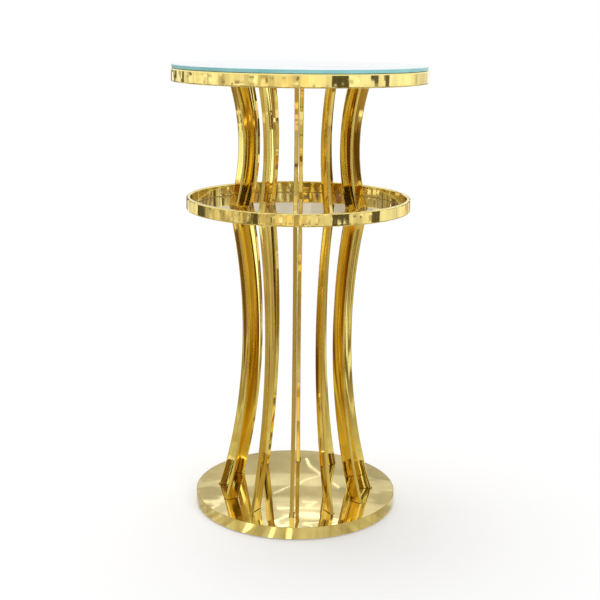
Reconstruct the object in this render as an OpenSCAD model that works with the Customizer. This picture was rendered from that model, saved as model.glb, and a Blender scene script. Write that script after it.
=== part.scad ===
// Bar-height cocktail table: a weighted round base, twelve curved lower legs, a round
// tray shelf, twelve curved upper legs and a glass top on a rolled ring.
// Everything is in millimetres. The floor is z = 0, +Z is up, and the table's axis is the
// Z axis. The first leg stands at the front, on the -Y side.

/* [Overall] */
// Height of the glass surface above the floor
overall_h = 1100; // [1000:5:1200]
// Height of the shelf's upper face above the floor
shelf_h = 759; // [560:1:860]
// Legs in each of the two cages
leg_count = 12; // [8:1:14]

/* [Legs] */
// Width of the leg tube, across the radius
leg_w = 10; // [9:0.5:14]
// Depth of the leg tube, along the radius
leg_depth = 30; // [24:1:40]
// Wall of the leg tube
leg_wall = 1.2; // [0.8:0.1:1.3]
// Outer corner radius of the leg tube
leg_corner = 1.5; // [1.4:0.1:2.5]
// Distance from the axis to the leg's outer edge at the base
leg_foot_r = 196; // [170:1:206]
// Distance from the axis to the legs' outer edge at the shelf
leg_shelf_r = 169; // [150:1:200]
// Distance from the axis to the leg's outer edge at the top
leg_top_r = 169; // [150:1:210]
// Bend radius of a lower leg's outer edge
lower_bend_r = 1471; // [1100:1:3000]
// Bend radius of an upper leg's outer edge
upper_bend_r = 510; // [400:1:1500]

/* [Leg fixings] */
// Length of the steel plug in each end of a leg
plug_h = 16; // [15:1:30]
// Thread length that a screw or stud has in a plug
plug_bite = 12; // [8:1:14]
// Thread diameter of the screws and studs
screw_d = 4; // [3:0.5:5]
// Distance from a plug's narrow face to the nearest screw's axis
screw_edge = 6; // [5:0.5:7]
// Diameter of a screw's head
screw_head_d = 7; // [6.5:0.5:9]
// Height of a screw's head
screw_head_h = 3; // [2.5:0.1:4]
// Width across the flats of the socket in a screw's head
screw_hex = 2.5; // [2:0.5:3.5]

/* [Base] */
// Diameter of the base
base_d = 507; // [450:1:640]
// Height of the base's rim
base_h = 30; // [28:1:60]
// Thickness of the base's rim strip
rim_t = 1.5; // [1:0.1:3]
// Radius of the rim's upper outer edge
rim_edge = 0.8; // [0.3:0.1:0.9]
// Thickness of the base's top sheet
skin_t = 1.5; // [1:0.1:3]
// Gap round a leg in the base's top sheet
slot_gap = 1.5; // [0.3:0.1:2]
// Thickness of the board under the weight
board_t = 12; // [9:1:13]
// Depth of the board's underside above the rim's lower edge
board_recess = 4.5; // [4:0.5:6]
// Diameter of the holes through the board to the leg screws
access_d = 12; // [10:0.5:13]
// Screws that hold the board to the weight
board_screw_count = 6; // [4:1:12]
// Distance from the axis to the board's screws
board_screw_r = 115; // [80:1:140]
// Length of a board screw's thread in the weight
board_screw_bite = 7; // [5:0.5:8]

/* [Levelling feet] */
// Number of levelling feet
leveller_count = 4; // [3:1:6]
// Distance from the base's edge to a levelling foot's axis
leveller_edge = 38; // [30:1:40]
// Travel of a levelling foot
leveller_travel = 10; // [5:1:11]
// Diameter of a levelling foot's stem
stem_d = 8; // [6:1:10]
// Radial running clearance of a stem in its insert
stem_gap = 0.08; // [0.05:0.01:0.1]
// Diameter of a levelling foot's pad
pad_d = 30; // [24:1:40]
// Height of a levelling foot's pad
pad_t = 5.8; // [5.5:0.1:9]
// Diameter of the neck on top of a pad
pad_neck_d = 15; // [14:0.5:18]
// Edge chamfer of a pad
pad_chamfer = 1; // [0.4:0.1:1.5]
// Outer diameter of the threaded insert in the board
insert_d = 12; // [11.5:0.5:14]
// Diameter of the insert's flange
insert_flange_d = 18; // [16:0.5:22]
// Thickness of the insert's flange
insert_flange_t = 1.5; // [1:0.1:2]

/* [Rings] */
// Height of the rolled tube of both rings
ring_h = 30; // [24:1:50]
// Width of the rolled tube of both rings, along the radius
ring_w = 10; // [9:0.5:16]
// Wall of the rolled tube
ring_wall = 2; // [1.5:0.1:2.5]
// Outer corner radius of the rolled tube
ring_corner = 3; // [2.6:0.1:4]

/* [Shelf] */
// Outer diameter of the shelf
shelf_d = 543; // [460:1:620]
// Thickness of the shelf's plate
shelf_plate_t = 1.5; // [1:0.1:2]

/* [Top] */
// Outer diameter of the ring under the glass
top_ring_d = 610; // [500:1:800]
// Thickness of the plate inside the top ring
top_plate_t = 2; // [1.5:0.1:3]
// Thickness of the glass
glass_t = 8; // [5:1:12]
// Distance from the top ring's outer face in to the glass's edge
glass_inset = 2; // [0.5:0.5:4]
// Radius of the glass's ground edges
glass_edge = 1; // [0.4:0.1:1.5]
// Thickness of the white backing under the glass
backing_t = 0.2; // [0.1:0.1:0.5]
// Distance from the glass's edge in to the edge of the backing
backing_inset = 1.5; // [1:0.5:4]
// Clear bumpers between the ring and the glass
bumper_count = 8; // [4:1:16]
// Diameter of a bumper
bumper_d = 6; // [4:0.5:7]
// Thickness of a bumper
bumper_t = 0.8; // [0.5:0.1:3]

/* [Hidden] */
$fn = 96;

// Clearance between pieces that are pushed, glued or welded together
fit_gap = 0.05;
// Clearance between a leg's plug and the inside of its tube
plug_gap = 0.1;
// Clearance round a screw's shank where it only passes through
pass_gap = 0.25;
// Clearance between a levelling foot's neck and its insert when wound fully in
stop_gap = 0.2;
// Free space above a levelling foot's stem
stem_room = 1;
// Board left over a threaded insert
insert_cover = 2;
// Overshoot of a cutting tool past the face that it cuts
over = 1;
// Angle that a bent tube is made too long by, before its ends are cut level
trim_angle = 1;

gold = [0.83, 0.66, 0.25];
pale_gold = [0.87, 0.75, 0.38];
steel = [0.62, 0.63, 0.65];
dark_steel = [0.30, 0.31, 0.33];
board_brown = [0.66, 0.53, 0.38];
pad_black = [0.10, 0.10, 0.11];
clear_rubber = [0.85, 0.88, 0.90];
glass_teal = [0.55, 0.80, 0.78];
backing_white = [0.95, 0.96, 0.98];

// Base, from the floor up: the pads, the insert flanges, the board, the weight, the skin
board_z = pad_t + stop_gap + insert_flange_t;
rim_z = board_z - board_recess;
weight_t = base_h - board_recess - board_t - skin_t;
weight_z = board_z + board_t;
skin_z = weight_z + weight_t;
base_top_z = skin_z + skin_t;
base_r = base_d / 2;
core_r = base_r - rim_t - fit_gap;

// Shelf and top, from their plates up
shelf_z = shelf_h - shelf_plate_t;
glass_z = overall_h - glass_t;
backing_z = glass_z - backing_t;
bumper_z = backing_z - bumper_t;
top_z = bumper_z - ring_h;

// Each plate lies inside its ring, flush with the ring's lower face, and reaches into the
// hollow under the ring's rounded inner corner
function corner_hollow(t) =
    let (rise = max(ring_corner - t, 0))
    ring_corner - sqrt(ring_corner * ring_corner - rise * rise);
shelf_plate_r = shelf_d / 2 - ring_w + corner_hollow(shelf_plate_t) - fit_gap;
top_plate_r = top_ring_d / 2 - ring_w + corner_hollow(top_plate_t) - fit_gap;

glass_r = top_ring_d / 2 - glass_inset;
backing_r = glass_r - backing_inset;
bumper_ring_r = min(top_ring_d / 2 - ring_w / 2, glass_r - glass_edge - bumper_d / 2);

// Centre of the circle of radius r through p and q, on the side away from the axis.
// Points are [distance from the axis, height].
function bend_centre(p, q, r) =
    let (d = q - p, side = sqrt(r * r - d * d / 4))
    (p + q) / 2 + side * [d[1], -d[0]] / norm(d);

lower_centre = bend_centre([leg_foot_r, base_top_z], [leg_shelf_r, shelf_z], lower_bend_r);
upper_centre = bend_centre([leg_shelf_r, shelf_h], [leg_top_r, top_z], upper_bend_r);

// Distance from the axis to a line in a bent leg at height z, in from the outer edge by inset
function leg_r(centre, bend_r, inset, z) =
    centre[0] - sqrt(pow(bend_r + inset, 2) - pow(z - centre[1], 2));

// Distance from the axis to the middle of a leg at height z
function lower_mid(z) = leg_r(lower_centre, lower_bend_r, leg_depth / 2, z);
function upper_mid(z) = leg_r(upper_centre, upper_bend_r, leg_depth / 2, z);

// A screw goes through the middle of the length that it has in its plug
base_screw_mid = lower_mid(skin_z + plug_bite / 2);
stud_mid = (lower_mid(shelf_z - plug_bite / 2) + upper_mid(shelf_h + plug_bite / 2)) / 2;
top_screw_mid = upper_mid(top_z - plug_bite / 2);
screw_pitch = leg_depth - 2 * (leg_wall + plug_gap + screw_edge);

leveller_r = base_r - leveller_edge;

// A stem still fills its insert when its foot is wound fully out
insert_top_z = board_z + board_t - insert_cover;
stem_top_z = insert_top_z + leveller_travel;

function leg_angle(i) = -90 + (i - 1) * 360 / leg_count;
function leveller_angle(i) = -45 + (i - 1) * 360 / leveller_count;
function two_digits(i) = str(i < 10 ? "0" : "", i);
function lower_leg_name(i) = str("lower_leg_", two_digits(i));
function upper_leg_name(i) = str("upper_leg_", two_digits(i));
function stem_name(i) = str("leveller_stem_", i);
function pad_name(i) = str("leveller_pad_", i);

// Rectangle with round corners, centred
module rounded_rect(w, h, r) {
    square([w - 2 * r, h], center = true);
    square([w, h - 2 * r], center = true);
    for (x = [-1, 1], y = [-1, 1])
        translate([x * (w / 2 - r), y * (h / 2 - r)])
            circle(r);
}

// Rolled rectangular tube: a ring that stands on z = 0
module rolled_ring(outer_d) {
    rotate_extrude()
        translate([outer_d / 2 - ring_w / 2, ring_h / 2])
            difference() {
                rounded_rect(ring_w, ring_h, ring_corner);
                rounded_rect(ring_w - 2 * ring_wall, ring_h - 2 * ring_wall, ring_corner - ring_wall);
            }
}

// Sweep of a section along a leg's bend, cut level at heights z0 and z1.
// The section's x runs from the leg's outer edge towards the table's axis.
module along_bend(centre, bend_r, z0, z1) {
    high = asin((z1 - centre[1]) / bend_r) + trim_angle;
    low = asin((z0 - centre[1]) / bend_r) - trim_angle;
    reach = centre[0];
    intersection() {
        translate([centre[0], 0, centre[1]])
            rotate([90, 0, 0])
                rotate([0, 0, 180 - high])
                    rotate_extrude(angle = high - low, $fn = 720)
                        translate([bend_r + leg_depth / 2, 0])
                            children();
        translate([0, -leg_w, z0])
            cube([reach, 2 * leg_w, z1 - z0]);
    }
}

// Section of the leg's tube
module leg_section() {
    difference() {
        rounded_rect(leg_depth, leg_w, leg_corner);
        leg_bore(0);
    }
}

// Section of the hollow inside the leg's tube, smaller all round by gap
module leg_bore(gap) {
    shrink = 2 * (leg_wall + gap);
    square([leg_depth - shrink, leg_w - shrink], center = true);
}

module at_leg(i) {
    rotate([0, 0, leg_angle(i)])
        children();
}

module at_each_leg() {
    for (i = [1:leg_count])
        at_leg(i)
            children();
}

// Puts its children at both screw places of a leg that lies on the +X side
module at_leg_screws(mid) {
    for (side = [-1, 1])
        translate([mid + side * screw_pitch / 2, 0, 0])
            children();
}

// Puts its children at every board screw
module at_board_screws() {
    for (i = [1:board_screw_count])
        rotate([0, 0, (i - 0.5) * 360 / board_screw_count])
            translate([board_screw_r, 0, 0])
                children();
}

module at_leveller(i) {
    rotate([0, 0, leveller_angle(i)])
        translate([leveller_r, 0, 0])
            children();
}

// Socket-head screw: its head's lower side is at z = 0 and its shank points to +Z
module socket_screw(length) {
    difference() {
        union() {
            cylinder(d = screw_d, h = length);
            translate([0, 0, -screw_head_h])
                cylinder(d = screw_head_d, h = screw_head_h);
        }
        translate([0, 0, -screw_head_h - over])
            cylinder(d = screw_hex / cos(30), h = screw_head_h / 2 + over, $fn = 6);
    }
}

// Countersunk screw: its head is flush with z = 0 and its shank points to +Z
module countersunk_screw(length) {
    cone_h = (screw_head_d - screw_d) / 2;
    difference() {
        union() {
            cylinder(d1 = screw_head_d, d2 = screw_d, h = cone_h);
            cylinder(d = screw_d, h = length);
        }
        translate([0, 0, -over])
            cylinder(d = screw_hex / cos(30), h = cone_h + over, $fn = 6);
    }
}

// Hole for a countersunk screw, open a little wider than the screw all round
module countersunk_hole(depth) {
    cone_h = (screw_head_d - screw_d) / 2;
    translate([0, 0, -over])
        cylinder(d = screw_d + 2 * pass_gap, h = depth + 2 * over);
    cylinder(d1 = screw_head_d + 2 * pass_gap, d2 = screw_d + 2 * pass_gap, h = cone_h);
    translate([0, 0, -over])
        cylinder(d = screw_head_d + 2 * pass_gap, h = over);
}

// Mirror-finished top sheet, with a slot for each leg
module base_top_skin() {
    out_r = leg_r(lower_centre, lower_bend_r, 0, skin_z);
    in_r = leg_r(lower_centre, lower_bend_r, leg_depth, base_top_z);
    color(pale_gold)
        difference() {
            translate([0, 0, skin_z])
                cylinder(r = core_r, h = skin_t, $fn = 180);
            at_each_leg()
                translate([in_r - slot_gap, -leg_w / 2 - slot_gap, skin_z - over])
                    cube([out_r - in_r + 2 * slot_gap, leg_w + 2 * slot_gap, skin_t + 2 * over]);
        }
}

// Rolled strip round the base, with its upper outer edge eased
module base_rim_band() {
    color(gold)
        translate([0, 0, rim_z])
            rotate_extrude($fn = 180)
                translate([base_r - rim_t, 0])
                    difference() {
                        square([rim_t, base_h]);
                        translate([rim_t - rim_edge, base_h - rim_edge])
                            difference() {
                                square(rim_edge + over);
                                circle(rim_edge);
                            }
                    }
}

// Steel plate that keeps the table upright and that the legs are screwed to
module base_weight_plate() {
    stem_hole_d = stem_d + 2 * stem_room;
    color(dark_steel)
        difference() {
            translate([0, 0, weight_z])
                cylinder(r = core_r - fit_gap, h = weight_t, $fn = 180);
            at_each_leg()
                at_leg_screws(base_screw_mid)
                    translate([0, 0, weight_z - over])
                        cylinder(d = screw_d + 2 * pass_gap, h = weight_t + 2 * over);
            at_board_screws()
                translate([0, 0, weight_z - over])
                    cylinder(d = screw_d + 2 * fit_gap, h = board_screw_bite + over);
            for (i = [1:leveller_count])
                at_leveller(i)
                    translate([0, 0, weight_z - over])
                        cylinder(d = stem_hole_d, h = stem_top_z + stem_room - weight_z + over);
        }
}

// Wooden board that closes the base and holds the levelling feet's inserts
module base_board() {
    color(board_brown)
        difference() {
            translate([0, 0, board_z])
                cylinder(r = core_r, h = board_t, $fn = 180);
            at_each_leg()
                at_leg_screws(base_screw_mid)
                    translate([0, 0, board_z - over])
                        cylinder(d = access_d, h = board_t + 2 * over);
            at_board_screws()
                translate([0, 0, board_z])
                    countersunk_hole(board_t);
            for (i = [1:leveller_count])
                at_leveller(i)
                    translate([0, 0, board_z - over])
                        cylinder(d = insert_d + 2 * fit_gap, h = board_t + 2 * over);
        }
}

// Screws from below through the weight into the plugs in the legs' feet
module base_leg_screws() {
    color(steel)
        at_each_leg()
            at_leg_screws(base_screw_mid)
                translate([0, 0, weight_z])
                    socket_screw(weight_t + plug_bite - fit_gap);
}

module base_board_screws() {
    color(steel)
        at_board_screws()
            translate([0, 0, board_z])
                countersunk_screw(board_t + board_screw_bite - fit_gap);
}

// Flanged threaded inserts, pressed into the board from below
module leveller_inserts() {
    color(steel)
        for (i = [1:leveller_count])
            at_leveller(i)
                difference() {
                    union() {
                        translate([0, 0, board_z - insert_flange_t])
                            cylinder(d = insert_flange_d, h = insert_flange_t);
                        translate([0, 0, board_z - fit_gap])
                            cylinder(d = insert_d, h = insert_top_z - board_z + fit_gap);
                    }
                    translate([0, 0, board_z - insert_flange_t - over])
                        cylinder(d = stem_d + 2 * stem_gap, h = board_t + insert_flange_t + over);
                }
}

// Threaded stem of levelling foot i, moulded into its pad
module leveller_stem(i) {
    color(steel)
        at_leveller(i)
            translate([0, 0, pad_t / 3])
                cylinder(d = stem_d, h = stem_top_z - pad_t / 3);
}

module leveller_pad(i) {
    pad_r = pad_d / 2;
    color(pad_black)
        at_leveller(i)
            difference() {
                rotate_extrude()
                    polygon([
                        [0, 0],
                        [pad_r - pad_chamfer, 0],
                        [pad_r, pad_chamfer],
                        [pad_r, pad_t / 2],
                        [pad_neck_d / 2, pad_t - pad_chamfer / 2],
                        [pad_neck_d / 2, pad_t],
                        [0, pad_t]
                    ]);
                translate([0, 0, pad_t / 3 - fit_gap])
                    cylinder(d = stem_d + 2 * fit_gap, h = pad_t);
            }
}

module lower_leg(i) {
    color(gold)
        at_leg(i)
            along_bend(lower_centre, lower_bend_r, skin_z, shelf_z)
                leg_section();
}

module upper_leg(i) {
    color(gold)
        at_leg(i)
            along_bend(upper_centre, upper_bend_r, shelf_h, top_z)
                leg_section();
}

// Steel plug in one end of a leg, from z0 to z1, tapped from the face at height tapped_z
module leg_plug(centre, bend_r, z0, z1, screw_mid, tapped_z) {
    difference() {
        along_bend(centre, bend_r, z0, z1)
            leg_bore(plug_gap);
        at_leg_screws(screw_mid)
            translate([0, 0, tapped_z - plug_bite])
                cylinder(d = screw_d + 2 * fit_gap, h = 2 * plug_bite);
    }
}

module lower_foot_plugs() {
    color(steel)
        at_each_leg()
            leg_plug(lower_centre, lower_bend_r, skin_z, skin_z + plug_h, base_screw_mid, skin_z);
}

module lower_head_plugs() {
    color(steel)
        at_each_leg()
            leg_plug(lower_centre, lower_bend_r, shelf_z - plug_h, shelf_z, stud_mid, shelf_z);
}

module upper_foot_plugs() {
    color(steel)
        at_each_leg()
            leg_plug(upper_centre, upper_bend_r, shelf_h, shelf_h + plug_h, stud_mid, shelf_h);
}

module upper_head_plugs() {
    color(steel)
        at_each_leg()
            leg_plug(upper_centre, upper_bend_r, top_z - plug_h, top_z, top_screw_mid, top_z);
}

// Round plate on z, with two holes at each leg
module drilled_plate(r, t, z, screw_mid) {
    difference() {
        translate([0, 0, z])
            cylinder(r = r, h = t, $fn = 180);
        at_each_leg()
            at_leg_screws(screw_mid)
                translate([0, 0, z - over])
                    cylinder(d = screw_d + 2 * pass_gap, h = t + 2 * over);
    }
}

// Mirror-finished bottom of the tray, held between the two cages of legs
module shelf_plate() {
    color(pale_gold)
        drilled_plate(shelf_plate_r, shelf_plate_t, shelf_z, stud_mid);
}

module shelf_ring() {
    color(gold)
        translate([0, 0, shelf_z])
            rolled_ring(shelf_d, $fn = 180);
}

// Threaded studs that join each upper leg to the lower leg under it
module shelf_studs() {
    bite = plug_bite - fit_gap;
    color(steel)
        at_each_leg()
            at_leg_screws(stud_mid)
                translate([0, 0, shelf_z - bite])
                    cylinder(d = screw_d, h = shelf_plate_t + 2 * bite);
}

// Plate that the upper legs are screwed to, hidden under the white-backed glass
module top_plate() {
    color(pale_gold)
        drilled_plate(top_plate_r, top_plate_t, top_z, top_screw_mid);
}

module top_ring() {
    color(gold)
        translate([0, 0, top_z])
            rolled_ring(top_ring_d, $fn = 180);
}

module top_screws() {
    color(steel)
        at_each_leg()
            at_leg_screws(top_screw_mid)
                translate([0, 0, top_z + top_plate_t])
                    mirror([0, 0, 1])
                        socket_screw(top_plate_t + plug_bite - fit_gap);
}

module glass_bumpers() {
    color(clear_rubber)
        for (i = [1:bumper_count])
            rotate([0, 0, (i - 0.5) * 360 / bumper_count])
                translate([bumper_ring_r, 0, bumper_z])
                    cylinder(d = bumper_d, h = bumper_t);
}

// White coat on the underside of the glass
module glass_backing() {
    color(backing_white)
        translate([0, 0, backing_z])
            cylinder(r = backing_r, h = backing_t, $fn = 180);
}

// Tempered glass disc with ground edges, which lies loose on the bumpers
module glass_top() {
    color(glass_teal)
        translate([0, 0, glass_z])
            rotate_extrude($fn = 180) {
                square([glass_r - glass_edge, glass_t]);
                translate([0, glass_edge])
                    square([glass_r, glass_t - 2 * glass_edge]);
                for (z = [glass_edge, glass_t - glass_edge])
                    translate([glass_r - glass_edge, z])
                        circle(glass_edge);
            }
}

base_top_skin();
base_rim_band();
base_weight_plate();
base_board();
base_leg_screws();
base_board_screws();
leveller_inserts();
for (i = [1:leveller_count]) {
    leveller_stem(i);
    leveller_pad(i);
}
for (i = [1:leg_count]) {
    lower_leg(i);
    upper_leg(i);
}
lower_foot_plugs();
lower_head_plugs();
shelf_plate();
shelf_ring();
shelf_studs();
upper_foot_plugs();
upper_head_plugs();
top_plate();
top_ring();
top_screws();
glass_bumpers();
glass_backing();
glass_top();
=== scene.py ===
# %% [markdown]
# # A gold cocktail table
# This lesson dresses a finished construction model of a bar-height table. The construction
# model is loaded first and never moves. Smooth meshes and finishes are then made over it, in
# the same place. Everything is in metres, the floor is z = 0, the table's axis is the Z axis,
# and the front is the -Y side.

# %% Load the construction model
import math
import random

import bmesh
import bpy
from mathutils import Matrix, Vector


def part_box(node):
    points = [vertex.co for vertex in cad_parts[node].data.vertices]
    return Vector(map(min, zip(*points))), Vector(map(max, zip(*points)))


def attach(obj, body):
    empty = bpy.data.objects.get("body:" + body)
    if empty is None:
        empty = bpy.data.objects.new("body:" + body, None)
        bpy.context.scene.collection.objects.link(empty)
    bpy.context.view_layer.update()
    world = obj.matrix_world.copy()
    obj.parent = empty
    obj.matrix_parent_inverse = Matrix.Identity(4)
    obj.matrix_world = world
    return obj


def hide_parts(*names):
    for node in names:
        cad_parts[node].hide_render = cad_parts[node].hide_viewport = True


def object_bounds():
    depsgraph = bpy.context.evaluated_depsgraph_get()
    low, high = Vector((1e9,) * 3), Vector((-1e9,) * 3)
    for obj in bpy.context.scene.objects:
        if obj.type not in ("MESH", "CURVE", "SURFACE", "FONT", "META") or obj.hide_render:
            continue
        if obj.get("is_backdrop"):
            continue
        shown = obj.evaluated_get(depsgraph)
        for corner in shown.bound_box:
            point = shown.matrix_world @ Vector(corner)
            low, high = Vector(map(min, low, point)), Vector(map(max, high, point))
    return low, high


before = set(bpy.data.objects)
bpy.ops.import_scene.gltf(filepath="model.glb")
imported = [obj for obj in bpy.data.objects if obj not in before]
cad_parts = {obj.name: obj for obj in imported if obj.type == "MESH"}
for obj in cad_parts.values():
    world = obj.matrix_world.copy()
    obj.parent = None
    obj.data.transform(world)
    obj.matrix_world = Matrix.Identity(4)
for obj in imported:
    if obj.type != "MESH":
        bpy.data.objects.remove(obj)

cad_low, cad_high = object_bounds()
mm = 0.001
print("table height", round((cad_high.z - cad_low.z) / mm, 1), "mm")

# %% [markdown]
# ## The camera
# The camera comes first, because every later step is judged through it. It stands 2.75 m in
# front of the table, a little above the glass, and looks down by 13.6 degrees, so the glass
# shows as a thin ellipse and the base as a wide one. It also leans by 0.7 degrees, as a camera
# held by hand does. The lens follows from the picture's width and the focal length in pixels.

# %% Camera
picture_px = 600
focal_px = 1140.74
sensor_mm = 36
camera_distance = 2.7533
camera_height = 1.1945
camera_turn = math.radians(2.4)
look_right = math.radians(0.137)
look_down = math.radians(13.624)
lean = math.radians(0.687)


def add_object(name, data):
    """Puts an object with this data in the scene."""
    made = bpy.data.objects.new(name, data)
    bpy.context.scene.collection.objects.link(made)
    return made


heading = look_right - camera_turn
forward = Vector((
    math.sin(heading) * math.cos(look_down),
    math.cos(heading) * math.cos(look_down),
    -math.sin(look_down),
))
level_right = forward.cross(Vector((0, 0, 1))).normalized()
level_up = level_right.cross(forward)
camera_right = level_right * math.cos(lean) + level_up * math.sin(lean)
camera_up = level_up * math.cos(lean) - level_right * math.sin(lean)

camera_data = bpy.data.cameras.new("camera")
camera_data.sensor_width = sensor_mm
camera_data.lens = sensor_mm * focal_px / picture_px
camera = add_object("camera", camera_data)
camera.matrix_world = Matrix((camera_right, camera_up, -forward)).transposed().to_4x4()
camera.location = (
    camera_distance * math.sin(camera_turn),
    -camera_distance * math.cos(camera_turn),
    camera_height,
)
bpy.context.scene.camera = camera
print("lens", round(camera_data.lens, 2), "mm")

# %% [markdown]
# ## Helpers for node trees
# Materials and Geometry Nodes are both trees of nodes, so one small helper serves both. It
# adds a node, sets its options, and fills each input with a value or with a link from another
# node.

# %% Node helpers
def put(tree, kind, inputs=None, **options):
    """Adds a node. An input is a plain value, or an output or a whole node to link from."""
    node = tree.nodes.new(kind)
    for key, value in options.items():
        setattr(node, key, value)
    for key, value in (inputs or {}).items():
        if isinstance(value, bpy.types.Node):
            value = value.outputs[0]
        if isinstance(value, bpy.types.NodeSocket):
            tree.links.new(value, node.inputs[key])
        else:
            node.inputs[key].default_value = value
    return node


def calc(tree, operation, first, second=0.0):
    """Adds a Math node and gives its output."""
    return put(tree, "ShaderNodeMath", {0: first, 1: second}, operation=operation).outputs[0]


def remap(tree, value, low, high, to_low, to_high):
    """Stretches the range low to high onto to_low to to_high, clamped."""
    ends = {"Value": value, "From Min": low, "From Max": high, "To Min": to_low, "To Max": to_high}
    return put(tree, "ShaderNodeMapRange", ends).outputs["Result"]


# %% [markdown]
# ## Helpers for finishes
# A finish is a tree that ends in a surface. No real surface is the same all over, so every
# finish below is varied by noise: in its colour, in its gloss, and in bumps too small to model.

# %% Finish helpers
def new_material(name):
    """An empty material and its tree."""
    material = bpy.data.materials.new(name)
    material.use_nodes = True
    material.node_tree.nodes.clear()
    return material, material.node_tree


def show(tree, shader):
    """Makes a shader the surface of a material."""
    put(tree, "ShaderNodeOutputMaterial", {"Surface": shader})


def noise(tree, stretch, scale, detail, roughness, follows=""):
    """Noise with this many blotches per metre, squeezed along an axis by stretch.

    It lies on Object coordinates, or follows the piece by an attribute of its mesh."""
    if follows:
        where = put(tree, "ShaderNodeAttribute", attribute_name=follows).outputs["Vector"]
    else:
        where = put(tree, "ShaderNodeTexCoord").outputs["Object"]
    mapped = put(tree, "ShaderNodeMapping", {"Vector": where, "Scale": stretch})
    settings = {"Vector": mapped, "Scale": scale, "Detail": detail, "Roughness": roughness}
    return put(tree, "ShaderNodeTexNoise", settings).outputs["Fac"]


mix_first, mix_second, mix_result = 6, 7, 2


def blend_colours(tree, amount, first, second):
    """Mixes two colours, or outputs, by amount. A Mix node keeps its colours in late sockets."""
    ends = {"Factor": amount}
    for socket, colour in ((mix_first, first), (mix_second, second)):
        ends[socket] = colour if isinstance(colour, bpy.types.NodeSocket) else (*colour, 1)
    return put(tree, "ShaderNodeMix", ends, data_type="RGBA").outputs[mix_result]


def bumps(tree, height, depth, **options):
    """Bumps of a depth in metres."""
    return put(tree, "ShaderNodeBump", {"Height": height, "Distance": depth, "Strength": 1.0}, **options)


# %% [markdown]
# ## Polished gold
# The table is stainless steel with a hard gold-coloured coat, polished to a mirror. A mirror
# gets nearly all its looks from what stands round it, so its own material is quiet. It has a
# deep tint, a low roughness, fine polishing lines along the piece, faint hand marks that dull
# it in clouds, and long shallow waves that bend the reflections as rolled metal does. One
# function makes all the gold finishes, because they differ only in these amounts. The base's
# sheet waves more towards its edge, so the depth of its waves grows with the radius.

# %% Gold finishes
lines_per_metre = 700


def polished_gold(name, colour, deep, dull, clouds, lines, line_depth, waves, wave_depth, follows=""):
    """Mirror gold. clouds and waves are each a stretch and a count per metre, depths in metres."""
    material, tree = new_material(name)
    cloud = noise(tree, *clouds, 4, 0.6, follows)
    streaks = noise(tree, lines, lines_per_metre, 3, 0.6, follows)
    wave = noise(tree, *waves, 1, 0.4, follows)
    haze = remap(tree, cloud, 0.4, 0.75, dull, dull * 1.9)
    scuffs = remap(tree, streaks, 0.55, 0.8, 0, dull * 0.9)
    brushed = bumps(tree, streaks, line_depth)
    tree.links.new(bumps(tree, wave, wave_depth, name="waves").outputs[0], brushed.inputs["Normal"])
    show(tree, put(tree, "ShaderNodeBsdfPrincipled", {
        "Base Color": blend_colours(tree, remap(tree, cloud, 0.35, 0.7, 0, 1), colour, deep),
        "Metallic": 1.0, "Roughness": calc(tree, "ADD", haze, scuffs), "Normal": brushed}))
    return material


def from_axis(tree):
    """A point's distance from the table's axis."""
    place = put(tree, "ShaderNodeTexCoord").outputs["Object"]
    spot = put(tree, "ShaderNodeSeparateXYZ", {0: place}).outputs
    squares = [calc(tree, "MULTIPLY", spot[axis], spot[axis]) for axis in ("X", "Y")]
    return calc(tree, "SQRT", calc(tree, "ADD", *squares))


all_round = (1, 1, 1)
along_tube = (1, 1, 0.02)
round_ring = (1, 1, 0.6)
up_the_rim = (1, 1, 0.04)
gold_leg = polished_gold(
    "polished_gold_legs", (0.95, 0.75, 0.25), (0.86, 0.64, 0.16), 0.035,
    clouds=(along_tube, 160), lines=along_tube, line_depth=0.0000015,
    waves=(along_tube, 115), wave_depth=0.00011, follows="tube_place")
gold_ring = polished_gold(
    "polished_gold_rings", (0.98, 0.84, 0.34), (0.95, 0.78, 0.27), 0.045,
    clouds=(all_round, 9), lines=round_ring, line_depth=0.000001,
    waves=(all_round, 22), wave_depth=0.00028)
# The rim's darker tint is painted shade. It stands for the shaded floor near the base, which the rim
# mirrors.
rim_gold_painted_shade = polished_gold(
    "polished_rim_gold_painted_shade", (0.80, 0.65, 0.24), (0.56, 0.43, 0.12), 0.14,
    clouds=(up_the_rim, 26), lines=up_the_rim, line_depth=0.000003,
    waves=(all_round, 17), wave_depth=0.00003)
gold_sheet = polished_gold(
    "mirror_gold_sheet", (0.93, 0.82, 0.44), (0.90, 0.77, 0.38), 0.03,
    clouds=(all_round, 9), lines=all_round, line_depth=0.0000005,
    waves=(all_round, 13), wave_depth=0.0002)
flat_middle = 165 * mm
wavy_edge = 250 * mm
mirror_tree = gold_sheet.node_tree
deeper = remap(mirror_tree, from_axis(mirror_tree), flat_middle, wavy_edge, 0.0002, 0.0013)
mirror_tree.links.new(deeper, mirror_tree.nodes["waves"].inputs["Distance"])
print("gold finishes", [finish.name for finish in (gold_leg, gold_ring, rim_gold_painted_shade, gold_sheet)])
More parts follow.
